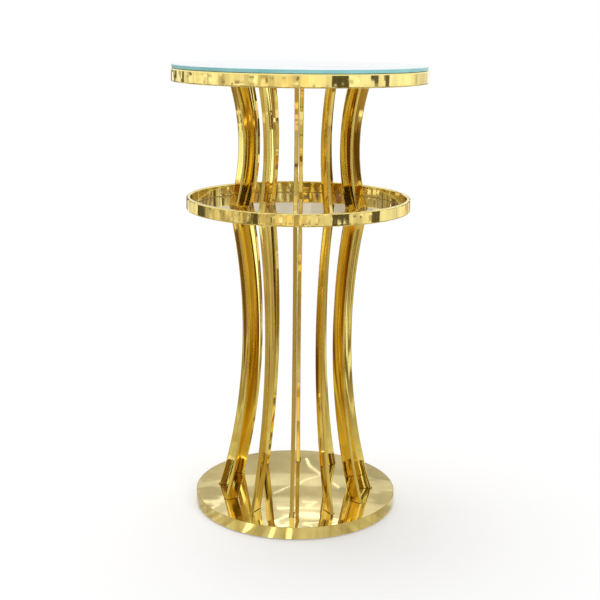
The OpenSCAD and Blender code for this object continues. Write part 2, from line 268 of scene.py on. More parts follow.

# %% [markdown]
# ## The tray's mirror
# The tray's plate is a paler, browner mirror than the base. Where the plate meets the ring, a dark line
# is painted into it. This is painted shade, standing for the shade in the groove of that joint. That line
# is a part of the finish: it starts at a radius, so it needs no edge in the mesh.

# %% Tray finish
tray_mirror = polished_gold(
    "tray_mirror", (0.86, 0.77, 0.56), (0.80, 0.70, 0.50), 0.04,
    clouds=(all_round, 9), lines=all_round, line_depth=0.0000005,
    waves=(all_round, 9), wave_depth=0.0003)
# The dark line at the joint is painted shade.
joint_shade_from = 259.7 * mm
joint_shade_to = 260.2 * mm
painted_joint_shade = (0.035, 0.022, 0.010)
plate_metal = 0.8
tray_tree = tray_mirror.node_tree
tray_inputs = tray_tree.nodes["Principled BSDF"].inputs
in_joint = remap(tray_tree, from_axis(tray_tree), joint_shade_from, joint_shade_to, 0, 1)
plate_tint = tray_inputs["Base Color"].links[0].from_socket
tray_tree.links.new(blend_colours(tray_tree, in_joint, plate_tint, painted_joint_shade), tray_inputs["Base Color"])
tray_tree.links.new(remap(tray_tree, in_joint, 0, 1, plate_metal, 0), tray_inputs["Metallic"])
print("tray mirror with a dark joint from", round(joint_shade_from / mm, 1), "mm")

# %% [markdown]
# ## Steel, paint, board and rubber
# What holds the table together is plain: zinc-plated screws, a painted weight, a wooden board
# and rubber pads. They show from below, and when the glass is lifted, so each still gets its
# own grain.

# %% Plain finishes
def plain_finish(name, colour, deep, metallic, dull, stretch, scale, depth):
    """A finish whose colour and gloss vary along one noise. The depth is in metres."""
    material, tree = new_material(name)
    grain = noise(tree, stretch, scale, 5, 0.6)
    show(tree, put(tree, "ShaderNodeBsdfPrincipled", {
        "Base Color": blend_colours(tree, remap(tree, grain, 0.3, 0.7, 0, 1), colour, deep),
        "Metallic": metallic, "Roughness": remap(tree, grain, 0.3, 0.7, dull, dull * 1.3),
        "Normal": bumps(tree, grain, depth)}))
    return material


along_board = (1, 0.06, 1)
zinc = plain_finish(
    "zinc_plated_steel", (0.62, 0.64, 0.68), (0.50, 0.52, 0.55), 1.0, 0.28, all_round, 260, 0.00002)
weight_paint = plain_finish(
    "weight_paint", (0.028, 0.028, 0.030), (0.050, 0.050, 0.052), 0.0, 0.5, all_round, 420, 0.00006)
board_wood = plain_finish(
    "board_wood", (0.36, 0.24, 0.13), (0.25, 0.155, 0.08), 0.0, 0.6, along_board, 160, 0.00008)
pad_rubber = plain_finish(
    "pad_rubber", (0.020, 0.020, 0.021), (0.035, 0.035, 0.036), 0.0, 0.6, all_round, 900, 0.00004)
print("plain finishes", [finish.name for finish in (zinc, weight_paint, board_wood, pad_rubber)])

# %% [markdown]
# ## Glass, its ground edge and its white back
# The top is clear float glass with a white coat underneath, so it reads white from above and
# green-blue at the edge, where the light has crossed much glass. Light lamps can't shine
# through a glass shader, so the shader lets shadow rays pass. The ground edge is frosted, and
# is a finish of its own.

# %% Glass finishes
glass_ior = 1.52


def clear_finish(name, tint, roughness):
    """Glass or clear rubber that lets the lamps shine through."""
    material, tree = new_material(name)
    smears = noise(tree, all_round, 14, 4, 0.6)
    clear = put(tree, "ShaderNodeBsdfPrincipled", {
        "Base Color": (*tint, 1), "Transmission Weight": 1.0, "IOR": glass_ior,
        "Roughness": remap(tree, smears, 0.45, 0.75, roughness, roughness + 0.04)})
    passing = put(tree, "ShaderNodeBsdfTransparent", {"Color": (*tint, 1)})
    in_shadow = put(tree, "ShaderNodeLightPath").outputs["Is Shadow Ray"]
    show(tree, put(tree, "ShaderNodeMixShader", {0: in_shadow, 1: clear, 2: passing}))
    return material


def frosted_edge(name, colour, deep):
    """Ground glass edge: satin, with a slow change of depth along it."""
    material, tree = new_material(name)
    depth = noise(tree, (1, 1, 3), 11, 3, 0.5)
    grit = noise(tree, all_round, 2500, 2, 0.6)
    show(tree, put(tree, "ShaderNodeBsdfPrincipled", {
        "Base Color": blend_colours(tree, remap(tree, depth, 0.35, 0.65, 0, 1), colour, deep),
        "Roughness": remap(tree, grit, 0.3, 0.7, 0.16, 0.28), "IOR": glass_ior,
        "Normal": bumps(tree, grit, 0.00001)}))
    return material


clear_glass = clear_finish("clear_glass", (0.97, 0.99, 0.99), 0.0)
glass_edge = frosted_edge("ground_glass_edge", (0.42, 0.88, 0.86), (0.29, 0.74, 0.76))
clear_rubber = clear_finish("clear_rubber", (0.80, 0.80, 0.86), 0.12)
white_coat = plain_finish(
    "white_coat", (0.86, 0.885, 0.93), (0.83, 0.86, 0.91), 0.0, 0.35, all_round, 30, 0.00001)
print("clear finishes", [finish.name for finish in (clear_glass, glass_edge, clear_rubber, white_coat)])

# %% [markdown]
# ## Shapes by rule
# Geometry Nodes describe a shape by its rule. Each tree below has named inputs for its sizes.
# It ends by making real geometry of what it repeats, by merging the seams, and by giving the
# shape its finish.

# %% Tree helpers
seam = 0.000002


def new_tree(name, inputs):
    """A Geometry Nodes tree with these inputs, each a name and a kind of socket."""
    tree = bpy.data.node_groups.new(name, "GeometryNodeTree")
    tree.interface.new_socket("Geometry", in_out="OUTPUT", socket_type="NodeSocketGeometry")
    for label, kind in inputs:
        tree.interface.new_socket(label, in_out="INPUT", socket_type="NodeSocket" + kind)
    return tree, put(tree, "NodeGroupInput").outputs


def only_z(tree, value):
    """A vector with a Z part alone: a height, or a turn round the table's axis."""
    return put(tree, "ShaderNodeCombineXYZ", {"Z": value})


def join(tree, *parts):
    """Joins the geometry of these nodes."""
    together = put(tree, "GeometryNodeJoinGeometry")
    for part in parts:
        tree.links.new(part.outputs[0], together.inputs[0])
    return together


def end_tree(tree, geometry, finish):
    """Smooth shading, real geometry instead of instances, and the finish."""
    smooth = put(tree, "GeometryNodeSetShadeSmooth", {"Geometry": geometry})
    real = put(tree, "GeometryNodeRealizeInstances", {"Geometry": smooth})
    merged = put(tree, "GeometryNodeMergeByDistance", {"Geometry": real, "Distance": seam})
    painted = put(tree, "GeometryNodeSetMaterial", {"Geometry": merged, "Material": finish})
    put(tree, "NodeGroupOutput", {0: painted})


# %% [markdown]
# ## From a node tree to a plain mesh
# To keep a tree's result, the tree is put on an empty object as a modifier, the sizes are
# written to the inputs' identifiers, and the evaluated mesh is copied off. Another helper then
# merges what seams are left and turns every face outwards.

# %% Mesh helpers
def tidy_mesh(mesh, crease_degrees):
    """Merges seams, turns the faces outwards, and keeps edges above the angle sharp."""
    work = bmesh.new()
    work.from_mesh(mesh)
    bmesh.ops.remove_doubles(work, verts=work.verts, dist=seam)
    bmesh.ops.recalc_face_normals(work, faces=work.faces)
    for face in work.faces:
        face.smooth = True
    work.to_mesh(mesh)
    work.free()
    mesh.set_sharp_from_angle(angle=math.radians(crease_degrees))


def mesh_from_tree(name, tree, sizes, crease_degrees=40):
    """Runs a tree with these sizes and gives its result as a plain mesh."""
    holder = add_object(name, bpy.data.meshes.new(name + "_holder"))
    modifier = holder.modifiers.new("shape", "NODES")
    modifier.node_group = tree
    for item in tree.interface.items_tree:
        if item.item_type == "SOCKET" and item.in_out == "INPUT":
            modifier[item.identifier] = sizes[item.name]
    evaluated = holder.evaluated_get(bpy.context.evaluated_depsgraph_get())
    mesh = bpy.data.meshes.new_from_object(evaluated)
    bpy.data.objects.remove(holder)
    mesh.name = name
    tidy_mesh(mesh, crease_degrees)
    return mesh


# %% [markdown]
# ## A piece and its checks
# Every new piece goes in by one function. It puts the mesh in the scene, lets it ride on the body that
# carries it, and hides the construction node that it stands for. It also checks the mesh, because a mesh
# that is open or inside out can look right and still be wrong.

# %% Piece helpers
pieces_made = []
sound_pieces = []


def is_sound(mesh):
    """True when every edge joins two faces and the faces look outwards."""
    work = bmesh.new()
    work.from_mesh(mesh)
    closed = all(len(edge.link_faces) == 2 for edge in work.edges)
    volume = work.calc_volume(signed=True)
    work.free()
    return closed and volume > 0


def misfit(mesh, node):
    """Largest distance in mm between a mesh's box and the box of its construction node."""
    gaps = []
    for axis, (low, high) in enumerate(zip(*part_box(node))):
        seen = [vertex.co[axis] for vertex in mesh.vertices]
        gaps += [abs(min(seen) - low), abs(max(seen) - high)]
    return round(max(gaps) / mm, 2)


def add_piece(name, mesh, body, slot, node, *finishes):
    """Adds a mesh that rides on a body and replaces a construction node. Gives its misfit."""
    for finish in finishes:
        mesh.materials.append(finish)
    piece = add_object(name, mesh)
    even = piece.modifiers.new("even_shading", "WEIGHTED_NORMAL")
    even.keep_sharp = True
    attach(piece, body)
    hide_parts(node)
    pieces_made.append(name)
    if is_sound(mesh):
        sound_pieces.append(name)
    return misfit(mesh, node)


# %% [markdown]
# ## The levels of the table
# Pieces stand on each other, so the levels are worked out once, from the floor up, and each
# piece takes its height from them.

# %% Levels
base_skin_z = 31.5 * mm
base_top_z = 33 * mm
tray_under_z = 757.5 * mm
tray_floor_z = 759 * mm
top_ring_z = 1061 * mm
glass_z = 1092 * mm
glass_top_z = 1100 * mm
levels = (base_top_z, tray_floor_z, top_ring_z, glass_top_z)
print("levels from the floor", [round(level / mm, 1) for level in levels], "mm")

# %% [markdown]
# ## The legs
# Each leg is a rectangular tube, bent to one radius in the plane through the table's axis and
# cut level at both ends. The tree makes it the way a maker thinks of it. A straight tube is
# made first, of an outer sleeve, an inner sleeve and a rim at each end. Set Position then
# pushes every point in or out to the circle it lies on, which bends the tube and leaves its
# ends level. Bending also leaves the wide faces slightly hollow, and that hollow draws the
# long streaks of light that bent tube shows. Before the bend, the tree stores each point's
# place in the straight tube, so that the polishing lines follow the bend too.

# %% Leg tree
leg_tree, leg_in = new_tree("bent_leg", [
    ("Width", "Float"), ("Depth", "Float"), ("Wall", "Float"), ("Corner", "Float"),
    ("Low End", "Float"), ("High End", "Float"), ("Bend Radius", "Float"),
    ("Centre Distance", "Float"), ("Centre Height", "Float"), ("Hollow", "Float"),
    ("Turn", "Float"), ("Steps", "Int"), ("Pattern Shift", "Float"), ("Finish", "Material")])
bore_corner = 0.3 * mm


def section_loop(tree, depth, width, corner, cuts, corner_steps):
    """The outline of a rectangular tube with round corners, as a curve."""
    box = put(tree, "GeometryNodeCurvePrimitiveQuadrilateral", {"Width": depth, "Height": width})
    cut = put(tree, "GeometryNodeSubdivideCurve", {"Curve": box, "Cuts": cuts})
    settings = {"Curve": cut, "Count": corner_steps, "Radius": corner}
    return put(tree, "GeometryNodeFilletCurve", settings, mode="POLY")


def leg_calc(operation, first, second=0.0):
    """A Math node in the tree of the legs."""
    return calc(leg_tree, operation, first, second)


double_wall = leg_calc("MULTIPLY", leg_in["Wall"], 2.0)
bore_depth = leg_calc("SUBTRACT", leg_in["Depth"], double_wall)
bore_width = leg_calc("SUBTRACT", leg_in["Width"], double_wall)
outer_loop = section_loop(
    leg_tree, leg_in["Depth"], leg_in["Width"], leg_in["Corner"], cuts=5, corner_steps=5)
inner_loop = section_loop(leg_tree, bore_depth, bore_width, bore_corner, cuts=0, corner_steps=1)

ends = [only_z(leg_tree, leg_in[end]) for end in ("Low End", "High End")]
rail = put(leg_tree, "GeometryNodeCurvePrimitiveLine", {"Start": ends[0], "End": ends[1]})
stepped = put(
    leg_tree, "GeometryNodeResampleCurve", {"Curve": rail, "Count": leg_in["Steps"]}, mode="COUNT")
sleeves = [
    put(leg_tree, "GeometryNodeCurveToMesh", {"Curve": stepped, "Profile Curve": loop})
    for loop in (outer_loop, inner_loop)]
both_loops = join(leg_tree, outer_loop, inner_loop)
end_face = put(leg_tree, "GeometryNodeFillCurve", {"Curve": both_loops}, mode="TRIANGLES")
end_faces = [
    put(leg_tree, "GeometryNodeTransform", {"Geometry": end_face, "Translation": end})
    for end in ends]
straight = join(leg_tree, *sleeves, *end_faces)

point = put(leg_tree, "GeometryNodeInputPosition")
tube_x, tube_y, tube_z = put(leg_tree, "ShaderNodeSeparateXYZ", {0: point}).outputs
half_depth = leg_calc("MULTIPLY", leg_in["Depth"], 0.5)
inset = leg_calc("SUBTRACT", half_depth, tube_x)
reach = leg_calc("ADD", leg_in["Bend Radius"], inset)
rise = leg_calc("SUBTRACT", tube_z, leg_in["Centre Height"])
span = leg_calc("SUBTRACT", leg_calc("POWER", reach, 2.0), leg_calc("POWER", rise, 2.0))
bent_x = leg_calc("SUBTRACT", leg_in["Centre Distance"], leg_calc("SQRT", span))
across = leg_calc("ABSOLUTE", leg_calc("DIVIDE", tube_x, half_depth))
middle = leg_calc("SUBTRACT", 1.0, leg_calc("POWER", across, 2.0))
half_width = leg_calc("MULTIPLY", leg_in["Width"], 0.5)
sag = leg_calc("MULTIPLY", leg_calc("DIVIDE", leg_in["Hollow"], half_width), middle)
bent_y = leg_calc("MULTIPLY", tube_y, leg_calc("SUBTRACT", 1.0, sag))
bent_place = put(leg_tree, "ShaderNodeCombineXYZ", {"X": bent_x, "Y": bent_y, "Z": tube_z})
shifted = leg_calc("ADD", tube_z, leg_in["Pattern Shift"])
tube_place = put(leg_tree, "ShaderNodeCombineXYZ", {"X": tube_x, "Y": tube_y, "Z": shifted})
marked = put(leg_tree, "GeometryNodeStoreNamedAttribute", {
    "Geometry": straight, "Name": "tube_place", "Value": tube_place,
}, data_type="FLOAT_VECTOR", domain="POINT")
bent = put(leg_tree, "GeometryNodeSetPosition", {"Geometry": marked, "Position": bent_place})
turn = only_z(leg_tree, leg_in["Turn"])
turned = put(leg_tree, "GeometryNodeTransform", {"Geometry": bent, "Rotation": turn})
end_tree(leg_tree, turned, leg_in["Finish"])
print("leg tree", len(leg_tree.nodes), "nodes")

# %% [markdown]
# ## Two cages of twelve legs
# The same tree makes all 24 legs. Only the ends, the bend and the turn round the axis change.
# The centre of a bend lies outside the table: it is the point at the bend's radius from both
# ends of the leg's outer edge. Each leg's polishing marks are shifted along it, so that no two
# legs are alike. The first leg of each cage stands at the front, where the turn is -90 degrees.

# %% Legs
leg_count = 12
leg_width = 10 * mm
leg_depth = 30 * mm
leg_wall = 1.2 * mm
leg_corner = 1.5 * mm
leg_hollow = 0.35 * mm
foot_r = 196 * mm
waist_r = 169 * mm
lower_bend = 1471 * mm
upper_bend = 510 * mm
pattern_shift = 3.7


def bend_centre(low_r, low_z, high_r, high_z, radius):
    """Centre of the circle through both ends of an edge, on the side away from the axis."""
    chord = Vector((high_r - low_r, high_z - low_z))
    lift = math.sqrt(radius ** 2 - chord.length_squared / 4)
    away = Vector((chord.y, -chord.x)).normalized()
    return Vector((low_r, low_z)) + chord / 2 + away * lift


lower_centre = bend_centre(foot_r, base_top_z, waist_r, tray_under_z, lower_bend)
upper_centre = bend_centre(waist_r, tray_floor_z, waist_r, top_ring_z, upper_bend)
for cage, centre, radius, low_end, high_end, steps in (
    ("lower_leg", lower_centre, lower_bend, base_skin_z, tray_under_z, 97),
    ("upper_leg", upper_centre, upper_bend, tray_floor_z, top_ring_z, 61),
):
    worst = 0
    for number in range(1, leg_count + 1):
        node = f"{cage}_{number:02d}"
        leg_mesh = mesh_from_tree(node + "_tube", leg_tree, {
            "Width": leg_width, "Depth": leg_depth, "Wall": leg_wall, "Corner": leg_corner,
            "Low End": low_end, "High End": high_end, "Bend Radius": radius,
            "Centre Distance": centre.x, "Centre Height": centre.y, "Hollow": leg_hollow,
            "Pattern Shift": pattern_shift * (len(pieces_made) + 1),
            "Turn": math.radians(-90 + (number - 1) * 360 / leg_count), "Steps": steps,
            "Finish": gold_leg})
        worst = max(worst, add_piece(node + "_tube", leg_mesh, "frame", "gold_leg_tube", node))
    print(cage, "tubes", leg_count, "faces each", len(leg_mesh.polygons), "misfit", worst, "mm")

# %% [markdown]
# ## The rings
# The tray and the glass each have a ring of the same rectangular tube, rolled on edge and
# welded. A ring is a section that follows a circle, which is exactly what Curve to Mesh does.
# The corners are rounder than the legs', and catch a thin line of light all the way round. The
# cuts along a side must leave room for the rounding, or the section folds back on itself.

# %% Rings
ring_corner = 3 * mm
tray_ring_r = 271.5 * mm
top_ring_r = 305 * mm

ring_tree, ring_in = new_tree("rolled_ring", [
    ("Outer Radius", "Float"), ("Width", "Float"), ("Height", "Float"), ("Corner", "Float"),
    ("Lower Face", "Float"), ("Finish", "Material")])
half_ring = calc(ring_tree, "MULTIPLY", ring_in["Width"], 0.5)
ring_radius = calc(ring_tree, "SUBTRACT", ring_in["Outer Radius"], half_ring)
ring_path = put(ring_tree, "GeometryNodeCurvePrimitiveCircle", {"Resolution": 360, "Radius": ring_radius})
ring_section = section_loop(
    ring_tree, ring_in["Width"], ring_in["Height"], ring_in["Corner"], cuts=2, corner_steps=7)
swept = put(ring_tree, "GeometryNodeCurveToMesh", {"Curve": ring_path, "Profile Curve": ring_section})
ring_middle = put(
    ring_tree, "ShaderNodeMath", {0: ring_in["Height"], 1: 0.5, 2: ring_in["Lower Face"]},
    operation="MULTIPLY_ADD")
ring_lift = only_z(ring_tree, ring_middle)
raised = put(ring_tree, "GeometryNodeTransform", {"Geometry": swept, "Translation": ring_lift})
end_tree(ring_tree, raised, ring_in["Finish"])

for node, radius, lower_face in (
    ("shelf_ring", tray_ring_r, tray_under_z),
    ("top_ring", top_ring_r, top_ring_z),
):
    ring_mesh = mesh_from_tree(node + "_tube", ring_tree, {
        "Outer Radius": radius, "Width": leg_width, "Height": leg_depth, "Corner": ring_corner,
        "Lower Face": lower_face, "Finish": gold_ring})
    ring_misfit = add_piece(node + "_tube", ring_mesh, "frame", "gold_ring", node)
    print(node, "faces", len(ring_mesh.polygons), "misfit", ring_misfit, "mm")

# %% [markdown]
# ## The base's top sheet
# A mirror sheet covers the base, with a slot for each leg. The slots repeat round the axis, so
# they are instances of one rectangle. Fill Curve makes the face with its holes, and Extrude
# gives it the sheet's thickness.

# %% Sheet tree
sheet_tree, sheet_in = new_tree("slotted_sheet", [
    ("Radius", "Float"), ("Thickness", "Float"), ("Lower Face", "Float"),
    ("Slot Length", "Float"), ("Slot Width", "Float"), ("Slot Middle", "Float"),
    ("Slots", "Int"), ("Finish", "Material")])
disc_edge = put(sheet_tree, "GeometryNodeCurvePrimitiveCircle", {
    "Resolution": 360, "Radius": sheet_in["Radius"]})
slot_outline = put(sheet_tree, "GeometryNodeCurvePrimitiveQuadrilateral", {
    "Width": sheet_in["Slot Length"], "Height": sheet_in["Slot Width"]})
slot_places = put(sheet_tree, "GeometryNodeMeshCircle", {
    "Vertices": sheet_in["Slots"], "Radius": sheet_in["Slot Middle"]})
slot_number = put(sheet_tree, "GeometryNodeInputIndex").outputs[0]
turns = calc(sheet_tree, "MULTIPLY", slot_number, math.tau)
slot_turn = only_z(sheet_tree, calc(sheet_tree, "DIVIDE", turns, sheet_in["Slots"]))
slots = put(sheet_tree, "GeometryNodeInstanceOnPoints", {
    "Points": slot_places, "Instance": slot_outline, "Rotation": slot_turn})
real_slots = put(sheet_tree, "GeometryNodeRealizeInstances", {"Geometry": slots})
outlines = join(sheet_tree, disc_edge, real_slots)
lower_skin = put(sheet_tree, "GeometryNodeFillCurve", {"Curve": outlines}, mode="TRIANGLES")
thick = put(sheet_tree, "GeometryNodeExtrudeMesh", {
    "Mesh": lower_skin, "Offset": only_z(sheet_tree, sheet_in["Thickness"]),
    "Offset Scale": 1.0, "Individual": False}, mode="FACES")
lifted = put(sheet_tree, "GeometryNodeTransform", {
    "Geometry": join(sheet_tree, thick, lower_skin),
    "Translation": only_z(sheet_tree, sheet_in["Lower Face"])})
end_tree(sheet_tree, lifted, sheet_in["Finish"])
print("sheet tree", len(sheet_tree.nodes), "nodes")

# %% [markdown]
# ## Where the slots go
# A leg leans where it passes through the sheet. Its outer edge is farthest out at the sheet's
# lower face, and its inner edge is farthest in at the upper face. Both follow from the bend.

# %% Base sheet
sheet_r = 251.95 * mm
slot_gap = 1.5 * mm


def leg_edge(radius, height):
    """Distance from the axis of an edge of the lower legs, bent to this radius."""
    return lower_centre.x - math.sqrt(radius ** 2 - (height - lower_centre.y) ** 2)


slot_out = leg_edge(lower_bend, base_skin_z)
slot_in = leg_edge(lower_bend + leg_depth, base_top_z)
sheet_mesh = mesh_from_tree("base_top_sheet", sheet_tree, {
    "Radius": sheet_r, "Thickness": base_top_z - base_skin_z, "Lower Face": base_skin_z,
    "Slot Length": slot_out - slot_in + 2 * slot_gap, "Slot Width": leg_width + 2 * slot_gap,
    "Slot Middle": (slot_out + slot_in) / 2, "Slots": leg_count, "Finish": gold_sheet})
sheet_misfit = add_piece("base_top_sheet", sheet_mesh, "frame", "gold_sheet", "base_top_skin")
print("base sheet faces", len(sheet_mesh.polygons), "misfit", sheet_misfit, "mm")

# %% [markdown]
# ## Round pieces on a lathe
# The glass, its backing, the base's rim and the pads are round. A lathe is the plain way to
# make them: an outline of radius and height, turned about an axis. An outline that touches
# the axis closes there in one point.

# %% Lathe
on_axis = 0.00001


def point_ring(work, centre, radii, height):
    """Mesh points evenly round an upright axis, one for each radius."""
    ring = []
    for step, radius in enumerate(radii):
        angle = math.tau * step / len(radii)
        ring.append(work.verts.new((
            centre[0] + radius * math.cos(angle), centre[1] + radius * math.sin(angle), height)))
    return ring


def skin_rings(work, rings):
    """Faces from each ring of points to the next. A ring may be one point, repeated."""
    for one, two in zip(rings, rings[1:]):
        for step in range(len(one)):
            after = (step + 1) % len(one)
            corners = [one[step], one[after], two[after], two[step]]
            corners = [c for i, c in enumerate(corners) if c not in corners[:i]]
            if len(corners) > 2:
                work.faces.new(corners)


def finished_mesh(name, work, crease_degrees=40):
    """Turns the work into a tidy mesh."""
    mesh = bpy.data.meshes.new(name)
    work.to_mesh(mesh)
    work.free()
    tidy_mesh(mesh, crease_degrees)
    return mesh


def lathe(name, outline, centre=(0, 0), steps=360):
    """Turns a closed outline of (radius, height) points round an upright axis."""
    work = bmesh.new()
    rings = []
    for radius, height in outline:
        if radius < on_axis:
            rings.append([work.verts.new((*centre, height))] * steps)
        else:
            rings.append(point_ring(work, centre, [radius] * steps, height))
    skin_rings(work, rings + rings[:1])
    return finished_mesh(name, work)


def rounded(centre_r, centre_z, radius, start, end, steps=6):
    """Points of an arc in a lathe outline, from one angle to another in degrees."""
    angles = [math.radians(start + (end - start) * i / steps) for i in range(steps + 1)]
    return [(centre_r + radius * math.cos(a), centre_z + radius * math.sin(a)) for a in angles]


# %% [markdown]
# ## The base's rim
# A strip of the same sheet is rolled round the base and stands level with the top sheet. Its upper edge
# is eased, or it would cut a hand. Its finish is a darker gold, which is painted shade of the floor that
# the rim mirrors.

# %% Rim
rim_low = 3 * mm
rim_out = 253.5 * mm
rim_in = 252 * mm
rim_edge = 0.8 * mm
rim_outline = [(rim_in, rim_low), (rim_out, rim_low)]
rim_outline += rounded(rim_out - rim_edge, base_top_z - rim_edge, rim_edge, 0, 90)
rim_outline += [(rim_in, base_top_z)]
rim_mesh = lathe("base_rim_strip", rim_outline)
rim_misfit = add_piece("base_rim_strip", rim_mesh, "frame", "gold_ring", "base_rim_band", rim_gold_painted_shade)
print("rim misfit", rim_misfit, "mm")

# %% [markdown]
# ## The glass
# The glass is one closed body with rounded, ground edges. Its flat faces are clear, and its
# edge band is frosted, so the mesh has two finishes, chosen by where each face lies. The white
# coat under it is a thin disc of its own.

# %% Glass
glass_r = 303 * mm
ground = 1 * mm
glass_outline = [(0, glass_z), (glass_r - ground, glass_z)]
glass_outline += rounded(glass_r - ground, glass_z + ground, ground, -90, 0)[1:]
glass_outline += rounded(glass_r - ground, glass_top_z - ground, ground, 0, 90)
glass_outline += [(0, glass_top_z)]
glass_mesh = lathe("glass_disc", glass_outline)
glass_mesh.materials.append(clear_glass)
glass_mesh.materials.append(glass_edge)
for face in glass_mesh.polygons:
    at_edge = Vector(face.center[:2]).length > glass_r - ground
    face.material_index = 1 if at_edge else 0
glass_misfit = add_piece("glass_disc", glass_mesh, "glass", "glass", "glass_top")

backing_r = 301.5 * mm
backing_z = 1091.8 * mm
backing_outline = [(0, backing_z), (backing_r, backing_z), (backing_r, glass_z), (0, glass_z)]
backing_mesh = lathe("glass_white_coat", backing_outline)
backing_misfit = add_piece(
    "glass_white_coat", backing_mesh, "glass", "white_backing", "glass_backing", white_coat)
print("glass misfit", glass_misfit, "mm, backing misfit", backing_misfit, "mm")

# %% [markdown]
# ## The bumpers
# Eight clear bumpers keep the glass off the metal, and leave a thin dark line of air between
# them. They repeat round a circle, so a tree sets one small domed disc on each of its points.

# %% Bumpers
bumper_count = 8
bumper_circle = 299 * mm
bumper_z = 1091 * mm
bumper_t = 0.8 * mm
bumper_r = 3 * mm
dome_edge = 0.3 * mm
dome = [(0, bumper_z), (bumper_r, bumper_z)]
dome += rounded(bumper_r - dome_edge, bumper_z + bumper_t - dome_edge, dome_edge, 0, 90, 4)
dome += [(0, bumper_z + bumper_t)]
dome_object = bpy.data.objects.new("bumper_shape", lathe("bumper_shape", dome, steps=32))

bumper_tree, bumper_in = new_tree("bumper_circle", [
    ("Bumpers", "Int"), ("Radius", "Float"), ("First Turn", "Float"),
    ("Shape", "Object"), ("Finish", "Material")])
spots = put(bumper_tree, "GeometryNodeMeshCircle", {
    "Vertices": bumper_in["Bumpers"], "Radius": bumper_in["Radius"]})
turned_spots = put(bumper_tree, "GeometryNodeTransform", {
    "Geometry": spots, "Rotation": only_z(bumper_tree, bumper_in["First Turn"])})
shape = put(bumper_tree, "GeometryNodeObjectInfo", {"Object": bumper_in["Shape"]})
set_out = put(bumper_tree, "GeometryNodeInstanceOnPoints", {
    "Points": turned_spots, "Instance": shape.outputs["Geometry"]})
end_tree(bumper_tree, set_out, bumper_in["Finish"])
bumper_mesh = mesh_from_tree("clear_bumpers", bumper_tree, {
    "Bumpers": bumper_count, "Radius": bumper_circle, "First Turn": math.pi / bumper_count,
    "Shape": dome_object, "Finish": clear_rubber})
bpy.data.objects.remove(dome_object)
bumper_misfit = add_piece("clear_bumpers", bumper_mesh, "frame", "clear_bumper", "glass_bumpers")
print("bumpers misfit", bumper_misfit, "mm")

# %% [markdown]
# ## The levelling feet
# Four feet wind in and out under the base. Each is a threaded stem in a rubber pad. The thread
# is a lathe shape whose radius also rises and falls with the turn, so one grid of points gives
# a true helix that shows when a foot is wound out.

# %% Threaded stem
stem_low = 1.94 * mm
stem_high = 27.5 * mm
stem_r = 4 * mm
thread_depth = 0.6 * mm
thread_pitch = 1.25 * mm
end_taper = 0.8 * mm
taper_slope = 0.5
flank_slope = 1.35
crest_flat = 0.1
thread_steps = 32
thread_rows = 164


def threaded_stem(name, centre):
    """A closed rod with a helical thread and plain, slightly tapered ends."""
    work = bmesh.new()
    rings = []
    for row in range(thread_rows + 1):
        height = stem_low + (stem_high - stem_low) * row / thread_rows
        taper = taper_slope * max(0.0, end_taper - min(height - stem_low, stem_high - height))
        radii = []
        for step in range(thread_steps):
            phase = height / thread_pitch - step / thread_steps
            flank = abs(2 * (phase - math.floor(phase)) - 1)
            cut = thread_depth * min(1.0, max(0.0, flank_slope * flank - crest_flat))
            radii.append(stem_r - cut - taper)
        rings.append(point_ring(work, centre, radii, height))
    skin_rings(work, rings)
    work.faces.new(rings[0][::-1])
    work.faces.new(rings[-1])
    return finished_mesh(name, work, 50)


# %% [markdown]
# ## The rubber pads
# A pad is a disc with three grooves underneath, which grip the floor, and a neck that holds
# the end of the stem. Its outline goes out along the floor and back over the top. The first
# foot stands between the front and the right, and the others follow a quarter turn apart.

# %% Levelling feet
foot_count = 4
foot_circle = 215.5 * mm
pad_r = 15 * mm
pad_h = 5.8 * mm
pad_round = 1 * mm
lip_round = 0.6 * mm
neck_r = 7.5 * mm
neck_h = 0.5 * mm
neck_ease = 0.2 * mm
pad_hole_r = 4.05 * mm
hole_floor = stem_low - 0.05 * mm
groove = 0.5 * mm
pad_outline = [(0, 0)]
for groove_r in (5 * mm, 8 * mm, 11 * mm):
    for side, depth in ((-1, 0), (-0.5, groove), (0.5, groove), (1, 0)):
        pad_outline.append((groove_r + side * groove, depth))
pad_outline += rounded(pad_r - pad_round, pad_round, pad_round, -90, 0)
pad_outline += rounded(pad_r - lip_round, pad_h / 2 - lip_round, lip_round, 0, 70)
pad_outline += [(neck_r, pad_h - neck_h), (neck_r - neck_ease, pad_h), (pad_hole_r, pad_h)]
pad_outline += [(pad_hole_r, hole_floor), (0, hole_floor)]

worst = 0
for number in range(1, foot_count + 1):
    angle = math.radians(-45 + (number - 1) * 360 / foot_count)
    centre = (foot_circle * math.cos(angle), foot_circle * math.sin(angle))
    body = f"levelling_foot_{number}"
    stem_name = f"leveller_thread_{number}"
    stem_misfit = add_piece(
        stem_name, threaded_stem(stem_name, centre), body, "plain_steel",
        f"leveller_stem_{number}", zinc)
    pad_name = f"leveller_rubber_{number}"
    pad_misfit = add_piece(
        pad_name, lathe(pad_name, pad_outline, centre, 96), body, "pad_rubber",
        f"leveller_pad_{number}", pad_rubber)
    worst = max(worst, stem_misfit, pad_misfit)
print("levelling feet", foot_count, "misfit", worst, "mm")
print("pieces made", len(pieces_made), "closed and facing outwards", len(sound_pieces))

# %% [markdown]
# ## Pieces that keep their construction shape
# The tray's mirror, the top plate, the weight, the board and the fasteners already have the
# right shape, so only their finish changes.

